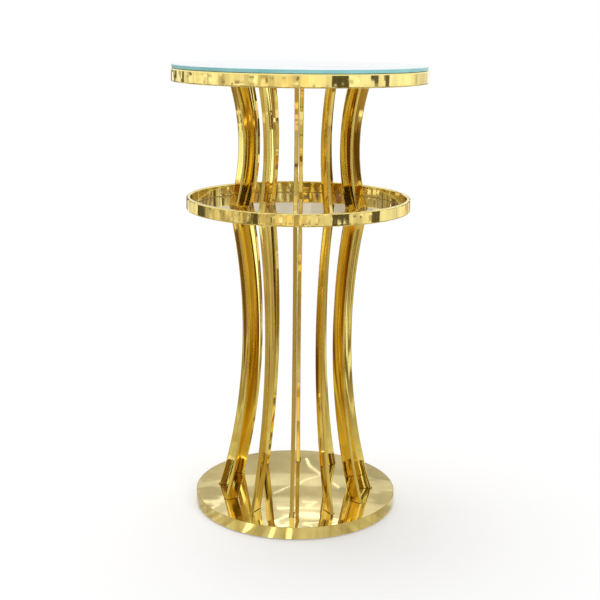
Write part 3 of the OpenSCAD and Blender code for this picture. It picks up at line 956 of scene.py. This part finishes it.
# %% Kept pieces
kept = {
    tray_mirror: ["shelf_plate"],
    gold_sheet: ["top_plate"],
    weight_paint: ["base_weight_plate"],
    board_wood: ["base_board"],
    zinc: [
        "base_leg_screws", "base_board_screws", "leveller_inserts", "lower_foot_plugs",
        "lower_head_plugs", "shelf_studs", "upper_foot_plugs", "upper_head_plugs", "top_screws"],
}
for finish, nodes in kept.items():
    for node in nodes:
        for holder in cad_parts[node].material_slots:
            holder.material = finish
print("kept pieces", sum(len(nodes) for nodes in kept.values()))

# %% [markdown]
# ## The floor
# The floor is a wide pale sheet. Near the table it is lit like any floor, so it keeps the
# table's soft shadow, and a little light is added only where the camera, a mirror or glass
# looks at it. Farther out it runs into plain white, as a paper sweep does.

# %% Floor
floor_edge = 30
floor_grey = 0.80
floor_mottle = 0.02
floor_lift = 0.33
paper_starts = 0.32
paper_full = 1.1


def seen_rays(tree):
    """1 for camera, glossy and transmission rays, which are what shows a background."""
    rays = put(tree, "ShaderNodeLightPath").outputs
    first = calc(tree, "MAXIMUM", rays["Is Camera Ray"], rays["Is Glossy Ray"])
    return calc(tree, "MAXIMUM", first, rays["Is Transmission Ray"])


floor_material, tree = new_material("pale_floor")
mottle = noise(tree, all_round, 3, 4, 0.6)
lit_floor = put(tree, "ShaderNodeBsdfPrincipled", {
    "Base Color": blend_colours(tree, mottle, [floor_grey] * 3, [floor_grey + floor_mottle] * 3),
    "Roughness": 0.9, "Specular IOR Level": 0.0})
seen = seen_rays(tree)
lift_light = put(tree, "ShaderNodeEmission", {"Strength": calc(tree, "MULTIPLY", seen, floor_lift)})
near_floor = put(tree, "ShaderNodeAddShader", {0: lit_floor, 1: lift_light})
far_floor = put(tree, "ShaderNodeEmission", {"Strength": 1.0})
on_floor = put(tree, "ShaderNodeTexCoord").outputs["Object"]
from_table = put(tree, "ShaderNodeVectorMath", {0: on_floor}, operation="LENGTH").outputs["Value"]
sweep = remap(tree, from_table, paper_starts, paper_full, 0, 1)
sweep.node.interpolation_type = "SMOOTHSTEP"
show(tree, put(tree, "ShaderNodeMixShader", {
    0: calc(tree, "MULTIPLY", sweep, seen), 1: near_floor, 2: far_floor}))

floor_corners = [(x * floor_edge, y * floor_edge, 0) for x, y in ((-1, -1), (1, -1), (1, 1), (-1, 1))]
floor_mesh = bpy.data.meshes.new("floor")
floor_mesh.from_pydata(floor_corners, [], [(0, 1, 2, 3)])
floor_mesh.materials.append(floor_material)
floor = add_object("floor", floor_mesh)
floor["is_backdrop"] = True
print("floor", 2 * floor_edge, "m wide")

# %% [markdown]
# ## Glowing boards that paint the gold's reflections
# Polished metal in an empty white room looks like flat yellow paint. So glowing boards stand just out of
# the picture for the metal to mirror. They are painted reflections of a room, with its shade and its
# highlights, and they are not lamps. A mirror shows only a small part of what surrounds it, so the boards
# stand in rows, one for each thing that mirrors them. The low rows lean outwards on one wide cone, and
# the high rows stand upright and nearer. Only mirrored rays see them: they light nothing and cast no
# shadow. A board's place is an azimuth in degrees and a height, or a distance from the axis for a card
# that lies on the floor. Boards that hang in front of others are lifted off them, so that they don't cut
# into each other.

# %% Board places and paints
board_foot = 0.50
board_lean = 1.028
near_boards = 0.95
card_z = 0.0015


def around(degrees, out, height):
    """A point at an azimuth, counted from the camera's side, and a distance from the axis."""
    angle = math.radians(degrees)
    return (out * math.sin(angle), -out * math.cos(angle), height)


def leaning(degrees, height, lift):
    """A point of the leaning boards, lifted off them a little."""
    return around(degrees, board_foot + board_lean * height - lift, height)


def upright(degrees, height, lift):
    """A point of the upright boards, lifted off them a little."""
    return around(degrees, near_boards - lift, height)


def flat(degrees, out, lift):
    """A point of the cards on the floor, lifted off them a little."""
    return around(degrees, out, card_z + lift)


def room_paint(tone, warmth=0.0):
    """Dark boards are browner than light ones. Warmth makes any board browner."""
    tan = Vector((1.0, 0.84, 0.52))
    cream = Vector((1.0, 0.98, 0.91))
    return tan.lerp(cream, min(1.0, tone)).lerp(Vector((1.0, 0.74, 0.34)), warmth) * tone


def leg_paint(tone):
    """From brown through straw to a cool white, as gold looks when it mirrors gold."""
    straw = Vector((1.0, 0.93, 0.62))
    if tone < 0.6:
        return Vector((1.0, 0.52, 0.08)).lerp(straw, max(0.0, tone - 0.15) / 0.45) * tone
    return straw.lerp(Vector((0.88, 0.98, 1.0)), min(1.0, (tone - 0.6) / 0.3)) * tone


# %% [markdown]
# ## How boards are added
# All boards go into one mesh, and each keeps its paint as a colour of its corners. Sizes and
# tones that look like chance come from one seeded dice, so the picture is the same each time.

# %% Board helpers
dice = random.Random(61)
panel_degrees = 3
narrowest = 0.01
tone_spread = (0.85, 1.15)
patch_heights = (0.004, 0.016)
patch_slants = (-0.6, 0.6)
patch_lift = 0.01
lift_step = 0.0002
board_points = []
board_faces = []
board_paints = []


def add_board(where, corners, lift, paint, foot_paint=None):
    """Adds a flat board. The first two corners are its foot, which may have its own paint."""
    first = len(board_points)
    board_points.extend(where(*corner, lift) for corner in corners)
    board_faces.append(tuple(range(first, first + 4)))
    for colour in (foot_paint or paint, foot_paint or paint, paint, paint):
        board_paints.extend([*colour, 1.0])


def outline(left, right, low, high, slant=0.0):
    """The corners of a plain board. Slant shifts its upper edge to the side."""
    return [(left, low), (right, low), (right + slant, high), (left + slant, high)]


def add_panel(where, start, end, low, high, paint, foot_paint=None):
    """Fills a stretch from one azimuth to another with narrow boards, so that it goes round."""
    steps = max(1, math.ceil((end - start) / panel_degrees))
    for step in range(steps):
        one = start + (end - start) * step / steps
        two = start + (end - start) * (step + 1) / steps
        add_board(where, outline(one, two, low, high), 0.0, paint, foot_paint)


def stripes(start, end, widths, tones, strength=1.0):
    """Divides a stretch into stripes of random width and tone, each a start, an end and a tone."""
    found = []
    edge = start
    while edge < end - narrowest:
        following = min(end, edge + dice.uniform(*widths))
        tone = dice.choice(tones) * strength * dice.uniform(*tone_spread)
        found.append((edge, following, tone))
        edge = following
    return found


def add_patches(where, count, start, end, low, high, sizes, tones):
    """Hangs small glowing boards at random places in front of a row: painted reflections of windows and
    boxes in a room.
    """
    for number in range(count):
        left = dice.uniform(start, end)
        right = left + dice.uniform(*sizes)
        bottom = dice.uniform(low, high)
        top = bottom + dice.uniform(*patch_heights)
        slant = dice.uniform(*patch_slants)
        lift = patch_lift + lift_step * number
        paint = room_paint(dice.choice(tones))
        add_board(where, outline(left, right, bottom, top, slant), lift, paint)


# %% [markdown]
# ## Rows for the legs
# A leg's wide face mirrors a stretch of only ten degrees. Narrow glowing boards there, some dark, some
# white, paint every leg its own set of long stripes of reflection. The legs' outer edges mirror other
# stretches, which are calm, because a stripe that crosses them would show as a blotch. The lower legs
# come first. Near the floor their stripes fade into one calm tone.

# %% Rows for the lower legs
back_from = 153
low_row_top = 0.53
rim_reach = 0.335
fade_height = 0.17
fade_spread = 0.06
foot_tone = 0.64
bold = [0.05, 0.10, 0.17, 0.26, 0.38, 0.55, 0.85, 1.20, 1.80]
gentle = [0.46, 0.54, 0.60, 0.68, 0.80]
calm = [0.50, 0.56, 0.62]
low_stretches = [
    (-back_from, -122, bold, 0.72), (-122, -86, gentle, 0.80), (-86, -62, bold, 0.84),
    (-62, -52, calm, 0.86), (-52, -34, bold, 0.58), (-34, -5, bold, 0.76), (-5, 1, calm, 0.80),
    (1, 34, bold, 0.76), (34, 49, bold, 0.52), (49, 57, calm, 0.86), (57, 82, bold, 0.80),
    (82, 97, gentle, 0.76), (97, 119, gentle, 0.98), (119, back_from, bold, 0.70)]
for start, end, tones, strength in low_stretches:
    for one, two, tone in stripes(start, end, (0.7, 2.4), tones, strength):
        fade_top = fade_height + dice.uniform(-fade_spread, fade_spread)
        add_panel(leaning, one, two, 0.0, fade_top, leg_paint(tone), leg_paint(foot_tone))
        add_panel(leaning, one, two, fade_top, low_row_top, leg_paint(tone))
for one, two, tone in stripes(-180, 180, (8.0, 16.0), [foot_tone]):
    add_panel(flat, one, two, rim_reach, board_foot, leg_paint(tone))
print("boards for the lower legs", len(board_faces))

# %% [markdown]
# ## Rows for the upper legs
# The upper legs mirror what stands higher up, first on the leaning boards and then on the upright ones.
# At one height they and the tray's wall look at the same row. So the stripes go on where the legs look,
# and dark boards hang between them, which paint shade into the tray's wall.

# %% Rows for the upper legs
tray_row_top = 0.66
high_row_top = 0.96
upright_top = 1.01
wall_low = 0.86
wall_high = 0.92
wall_step = 0.94
step_spread = 0.02
wall_lift = 0.004
wall_shade = 0.6
wall_tones = [0.18, 0.24, 0.29, 0.34]
leg_faces = [(-132, -112), (-75, -49), (-17, 12), (43, 71), (107, 127)]
high_stretches = [
    (-back_from, -124, bold, 0.90), (-124, -118, calm, 1.05), (-118, -106, bold, 0.90),
    (-106, -86, gentle, 0.90), (-86, -64, bold, 1.05), (-64, -58, calm, 1.05),
    (-58, -34, bold, 0.75), (-34, -5, bold, 0.90), (-5, 1, calm, 1.05), (1, 34, bold, 0.90),
    (34, 54, bold, 0.65), (54, 60, calm, 1.05), (60, 82, bold, 0.95), (82, 105, gentle, 0.90),
    (105, 113, bold, 0.95), (113, 119, calm, 1.05), (119, back_from, bold, 0.85)]
for start, end, tones, strength in high_stretches:
    for one, two, tone in stripes(start, end, (0.6, 2.3), tones, strength):
        step = wall_step + dice.uniform(-step_spread, step_spread)
        add_panel(leaning, one, two, tray_row_top, high_row_top, leg_paint(tone))
        add_panel(upright, one, two, step, upright_top, leg_paint(tone))
        if any(low <= one <= high for low, high in leg_faces):
            shade = dice.uniform(0.8, 1.0)
            add_panel(upright, one, two, wall_low, step, leg_paint(tone * shade))
        else:
            add_panel(upright, one, two, wall_high, step, leg_paint(tone * wall_shade))
# Dark boards between the legs' faces paint shade into the tray's wall.
wall_edges = [-back_from, *(side for face in leg_faces for side in face), back_from]
for start, end in zip(wall_edges[::2], wall_edges[1::2]):
    for one, two, tone in stripes(start - 1, end + 3, (2.5, 9.0), wall_tones):
        add_board(upright, outline(one, two, wall_low, wall_high), wall_lift, leg_paint(tone))
add_patches(upright, 36, -150, 150, 0.875, 0.925, (0.8, 4.0), [0.80, 1.2, 1.7])
add_patches(upright, 16, -16, 12, 0.873, 0.925, (0.5, 2.2), [0.16, 0.25, 0.32, 0.9, 1.4])
print("boards for the legs", len(board_faces))

# %% [markdown]
# ## Rows for the rings
# A ring mirrors almost the whole way round, squeezed into its width. The same order of plain
# and busy stretches stands behind both rings: plain light boards on the right, a dark one
# right of the middle, and a few upright dark and light ones at the left end. Each stretch has
# its range of widths, its tones and its warmth. Small boards in front break up their straight
# joints.

# %% Rows for the rings
top_row_top = 1.08
cut_share = 0.6
whole_from = 10
plain = [0.92, 0.98, 1.04]
busy = [0.12, 0.35, 0.55, 0.75, 0.95, 1.15]
soft = [0.62, 0.75, 0.88, 0.96, 1.10]
bars = [0.10, 0.16, 0.55, 0.95, 1.20]
black = [0.11, 0.15]
# These rows are painted reflections of a room, which the rings mirror.
for_top_ring = [
    (-150, -103, (1.2, 4.5), bars, 0.0), (-103, -60, (5.0, 14.0), plain, 0.0),
    (-60, -28, (2.0, 6.0), soft, 0.2), (-28, 9, (2.0, 6.0), soft, 0.4),
    (9, 25, (3.0, 7.0), plain, 0.1), (25, 38, (13.0, 13.0), black, 0.0),
    (38, 56, (3.0, 8.0), plain, 0.0), (56, 69, (1.2, 3.5), busy, 0.0),
    (69, 73, (4.0, 4.0), black, 0.0), (73, 105, (33.0, 33.0), plain, 0.0),
    (105, 150, (33.0, 33.0), plain, 0.0)]
for_tray_ring = [
    (-back_from, -134, (2.0, 4.0), bars, 0.2), (-134, -108, (2.0, 5.0), plain, 0.2),
    (-108, -94, (3.0, 6.0), black, 0.0), (-94, -52, (3.0, 8.0), soft, 0.3),
    (-52, -26, (2.0, 5.0), busy, 0.6), (-26, 10, (2.0, 6.0), soft, 0.7),
    (10, 32, (4.0, 9.0), plain, 0.2), (32, 48, (16.0, 16.0), black, 0.0),
    (48, 72, (3.0, 7.0), soft, 0.2), (72, 82, (10.0, 10.0), black, 0.0),
    (82, 120, (38.0, 38.0), [1.20, 1.26], 0.0), (120, back_from, (3.0, 9.0), soft, 0.4)]


def add_ring_row(where, low, high, cuts, stretches, strength):
    """A row for a ring. Some of its boards, but no wide ones, are cut across at some height."""
    for start, end, widths, tones, warmth in stretches:
        for one, two, tone in stripes(start, end, widths, tones, strength):
            if dice.random() < cut_share and widths[0] < whole_from:
                cut = dice.uniform(*cuts)
                other = dice.choice(tones) * strength
                add_panel(where, one, two, low, cut, room_paint(other, warmth))
                add_panel(where, one, two, cut, high, room_paint(tone, warmth))
            else:
                add_panel(where, one, two, low, high, room_paint(tone, warmth))


add_ring_row(upright, upright_top, top_row_top, (1.03, 1.052), for_top_ring, 1.0)
add_ring_row(leaning, low_row_top, tray_row_top, (0.605, 0.63), for_tray_ring, 0.84)
add_patches(upright, 46, -102, 60, 1.018, 1.058, (0.6, 4.0), [0.10, 0.30, 0.50, 0.70, 1.25, 1.40])
add_patches(leaning, 46, -90, 70, 0.595, 0.640, (0.6, 4.0), [0.10, 0.25, 0.40, 0.60, 1.20])
add_patches(leaning, 44, -70, 12, 0.603, 0.637, (0.3, 1.4), [0.15, 0.30, 0.42, 1.1])
print("boards for the legs and rings", len(board_faces))

# %% [markdown]
# ## Single boards for the rings and the tray's wall
# Three brown boards in front paint a dark reflection on the lower half of the tray's ring. Thin upright
# bars cross both rings at the sides. The back wall of the tray mirrors what stands in front, so many
# small boards hang there. Its right wall mirrors the left side by way of the tray's floor, and three
# bright boards stand there as painted highlights.

# %% Single boards
brown_low = 0.575
brown_lift = 0.025
bar_lift = 0.03
bright_slant = 1.5
bright_tone = 1.8
for start, end, height in ((-47, -20, 0.603), (-20, 8, 0.600), (8, 28, 0.597)):
    add_board(leaning, outline(start, end, brown_low, height), brown_lift, room_paint(0.42, 0.8))
for place in (-96, -88, -71, 108, 124):
    width = dice.uniform(0.35, 0.8)
    for where, low, high in ((leaning, 0.58, 0.65), (upright, 1.012, 1.07)):
        add_board(where, outline(place, place + width, low, high), bar_lift, room_paint(0.40))
add_patches(upright, 40, -19, 18, 0.868, 0.93, (0.4, 1.8), [0.10, 0.2, 0.34, 0.6, 1.5, 2.4])
for start, end, low, high in (
    (-97, -92, 0.893, 0.911), (-105, -100, 0.888, 0.907), (-111, -107, 0.884, 0.901),
):
    corners = outline(start, end, low, high, bright_slant)
    add_board(upright, corners, bar_lift, room_paint(bright_tone))

# %% [markdown]
# ## Behind the table
# The base's mirror looks up at what stands behind the table, and the boards there paint its reflection:
# wide bands, dark low down and light higher up. Glowing strips paint the highlights of strip lights
# crossing there, and of a ring light over them. The tray's plate looks above that, at a plain row and at
# painted beams of a ceiling, cut at heights that grow farther apart.

# %% Back boards
bands_top = 0.80
plain_top = 1.07
base_bands = [
    (0.0, 0.352, 0.56), (0.352, 0.427, 0.80), (0.427, 0.508, 0.57), (0.508, 0.66, 0.82),
    (0.66, bands_top, 0.83)]
for low, high, tone in base_bands:
    add_panel(leaning, back_from, 360 - back_from, low, high, room_paint(tone))
for one, two, tone in stripes(back_from, 360 - back_from, (3.0, 9.0), [0.62, 0.68, 0.76, 0.86]):
    add_panel(leaning, one, two, bands_top, plain_top, room_paint(tone))

# %% [markdown]
# ## Painted highlights of strip lights and a ring light
# A glowing strip, which lights nothing, paints the highlight of a strip light in the base's mirror. It
# follows a few points on the leaning boards, each an azimuth in degrees and a height. Its width is in
# metres, so the way across it is found in metres first, and then its sideways part is turned into
# degrees.

# %% Strip lights
degrees_per_metre = 55
strip_lift = 0.02
ring_glow_sides = 24


def add_highlight_strip(points, width, tone):
    """Adds a glowing strip, a painted highlight of a strip light, along points of the leaning boards,
    each an azimuth and a height.
    """
    for (az_one, z_one), (az_two, z_two) in zip(points, points[1:]):
        run = Vector(((az_two - az_one) / degrees_per_metre, z_two - z_one)).normalized() * width / 2
        side = Vector((-run.y * degrees_per_metre, run.x))
        corners = [
            (az_one - side.x, z_one - side.y), (az_two - side.x, z_two - side.y),
            (az_two + side.x, z_two + side.y), (az_one + side.x, z_one + side.y)]
        add_board(leaning, corners, strip_lift, room_paint(tone))


highlight_strips = [
    ([(179.8, 0.25), (179.0, 0.285), (176.4, 0.338)], 0.012, 1.6),
    ([(187.0, 0.460), (181.8, 0.402), (176.5, 0.345)], 0.006, 1.5),
    ([(174.2, 0.385), (172.9, 0.415)], 0.011, 1.5),
    ([(181.0, 0.523), (178.0, 0.526), (180.2, 0.554)], 0.007, 2.0),
    ([(186.0, 0.566), (177.5, 0.561)], 0.009, 2.0),
    ([(176.6, 0.526), (170.5, 0.520)], 0.004, 1.5),
    ([(173.5, 0.546), (171.6, 0.543)], 0.004, 1.5),
    ([(197.5, 0.60), (200.0, 0.56), (199.6, 0.51), (196.8, 0.48)], 0.030, 1.25),
    ([(163.5, 0.56), (160.5, 0.51), (158.5, 0.45)], 0.026, 1.15),
    ([(191.5, 0.572), (185.6, 0.578)], 0.003, 0.35),
    ([(189.0, 0.52), (184.0, 0.53)], 0.003, 0.45),
    ([(170.0, 0.62), (164.0, 0.61)], 0.003, 0.40)]
for points, width, tone in highlight_strips:
    add_highlight_strip(points, width, tone)
ring_glow_azimuth, ring_glow_z = 179.9, 0.660
half_degrees, half_height = 6.2, 0.050
ring_glow_points = []
for side in range(ring_glow_sides + 1):
    turn = math.tau * side / ring_glow_sides
    ring_glow_points.append((
        ring_glow_azimuth + half_degrees * math.cos(turn), ring_glow_z + half_height * math.sin(turn)))
add_highlight_strip(ring_glow_points, 0.018, 2.2)
print("strip lights", len(highlight_strips) + 1)

# %% [markdown]
# ## Beams
# Painted reflections of a ceiling's beams cross behind the table, high up. The rows between their heights
# are made of dark stripes with a light one here and there.

# %% Beams
beams_from, beams_to = 168, 206
beam_heights = [1.3, 1.9, 2.5, 3.6, 5.0, 8.0, 12.0]
for low, high in zip(beam_heights, beam_heights[1:]):
    for one, two, tone in stripes(beams_from, beams_to, (2.0, 7.0), [0.10, 0.16, 0.25, 0.35, 1.6]):
        add_panel(leaning, one, two, low, high, room_paint(tone, 0.2))
print("boards with those at the back", len(board_faces))

# %% [markdown]
# ## Cards on the floor
# The base's rim mirrors the floor close round it. Narrow glowing cards lie there like the spokes of a
# wheel. The grey ones paint the floor's shade into the rim, and a few white ones paint the bright upright
# streaks on the rim as highlights.

# %% Floor cards
card_in = 0.258
side_cards = [0.60, 0.66, 0.72, 0.80]
front_cards = [0.72, 0.80, 0.86]
for start, end, tones in ((-180, -62, side_cards), (-62, 62, front_cards), (62, 180, side_cards)):
    for one, two, tone in stripes(start, end, (3.0, 14.0), tones):
        add_panel(flat, one, two, card_in, rim_reach, room_paint(tone))
white_lift = 0.0005
white_tone = 2.8
rim_highlight_cards = [
    (-28.5, -26.5, -31.0, -24.5), (-12.5, -10.0, -12.8, -10.0), (-2.6, 0.6, -2.8, 0.8),
    (-112, -108, -113, -108), (104, 107, 104, 108), (121, 126, 121, 127),
    (-140, -136, -141, -136), (160, 165, 160, 166)]
for near_start, near_end, far_start, far_end in rim_highlight_cards:
    corners = [
        (near_start, card_in), (near_end, card_in), (far_end, rim_reach), (far_start, rim_reach)]
    add_board(flat, corners, white_lift, room_paint(white_tone))
print("boards with the cards on the floor", len(board_faces))

# %% [markdown]
# ## The boards as one mesh
# The boards glow with their paint, a little unevenly, because a mirrored board has to keep its tone
# wherever the lamps stand: the glow is painted reflection. They are hidden from every ray but the
# mirrored ones.

# %% Board mesh
board_mesh = bpy.data.meshes.new("mirrored_boards")
board_mesh.from_pydata(board_points, [], board_faces)
board_mesh.attributes.new("paint", "FLOAT_COLOR", "CORNER").data.foreach_set("color", board_paints)

board_material, tree = new_material("board_paint")
paint = put(tree, "ShaderNodeAttribute", attribute_name="paint").outputs["Color"]
unevenness = remap(tree, noise(tree, (1, 1, 0.4), 7, 3, 0.6), 0.3, 0.7, 0.78, 1.16)
show(tree, put(tree, "ShaderNodeEmission", {"Color": paint, "Strength": unevenness}))
board_material.cycles.emission_sampling = "NONE"
board_mesh.materials.append(board_material)
boards = add_object("mirrored_boards", board_mesh)
for ray in ("camera", "diffuse", "transmission", "volume_scatter", "shadow"):
    setattr(boards, "visible_" + ray, False)
boards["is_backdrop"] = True
print("boards", len(board_faces), "faces")

# %% [markdown]
# ## Light
# Two large soft lamps stand for a plain studio: one overhead, a little behind the table so
# that the soft shadow falls forward, and one beside the camera. The world fills the rest. It
# is plain white where it is seen, and dimmer as a light, so that a colour renders about as it
# is written. The lamps themselves aren't mirrored, or the glass would show a square glare.

# %% Light
fill_strength = 0.42
world = bpy.data.worlds.new("studio")
bpy.context.scene.world = world
world.use_nodes = True
tree = world.node_tree
tree.nodes.clear()
strength = remap(tree, seen_rays(tree), 0, 1, fill_strength, 1.0)
sky = put(tree, "ShaderNodeBackground", {"Color": (1, 1, 1, 1), "Strength": strength})
put(tree, "ShaderNodeOutputWorld", {"Surface": sky})


def soft_lamp(name, place, target, size, power):
    """A square area lamp that points at a target."""
    data = bpy.data.lights.new(name, "AREA")
    data.size = size
    data.energy = power
    lamp = add_object(name, data)
    lamp.location = place
    lamp.rotation_euler = (Vector(target) - Vector(place)).to_track_quat("-Z", "Y").to_euler()
    lamp.visible_glossy = False


soft_lamp("overhead", (-0.5, 0.7, 3.4), (0, 0, 0.5), size=2.6, power=62)
soft_lamp("beside_camera", (1.9, -2.6, 2.3), (0, 0, 0.7), size=1.6, power=26)
bpy.context.scene.view_settings.view_transform = "Standard"

# %% [markdown]
# ## Check the size
# The dressed table has to fill the construction model's box and stay inside it. So the dressed table's
# box is measured, and how far its top corner lies past the construction model's box is printed.

# %% Size
seen_low, seen_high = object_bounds()
growth = [round((seen - cad) / mm, 2) for cad, seen in zip(cad_high, seen_high)]
print("box grew by", growth, "mm at the top corner")
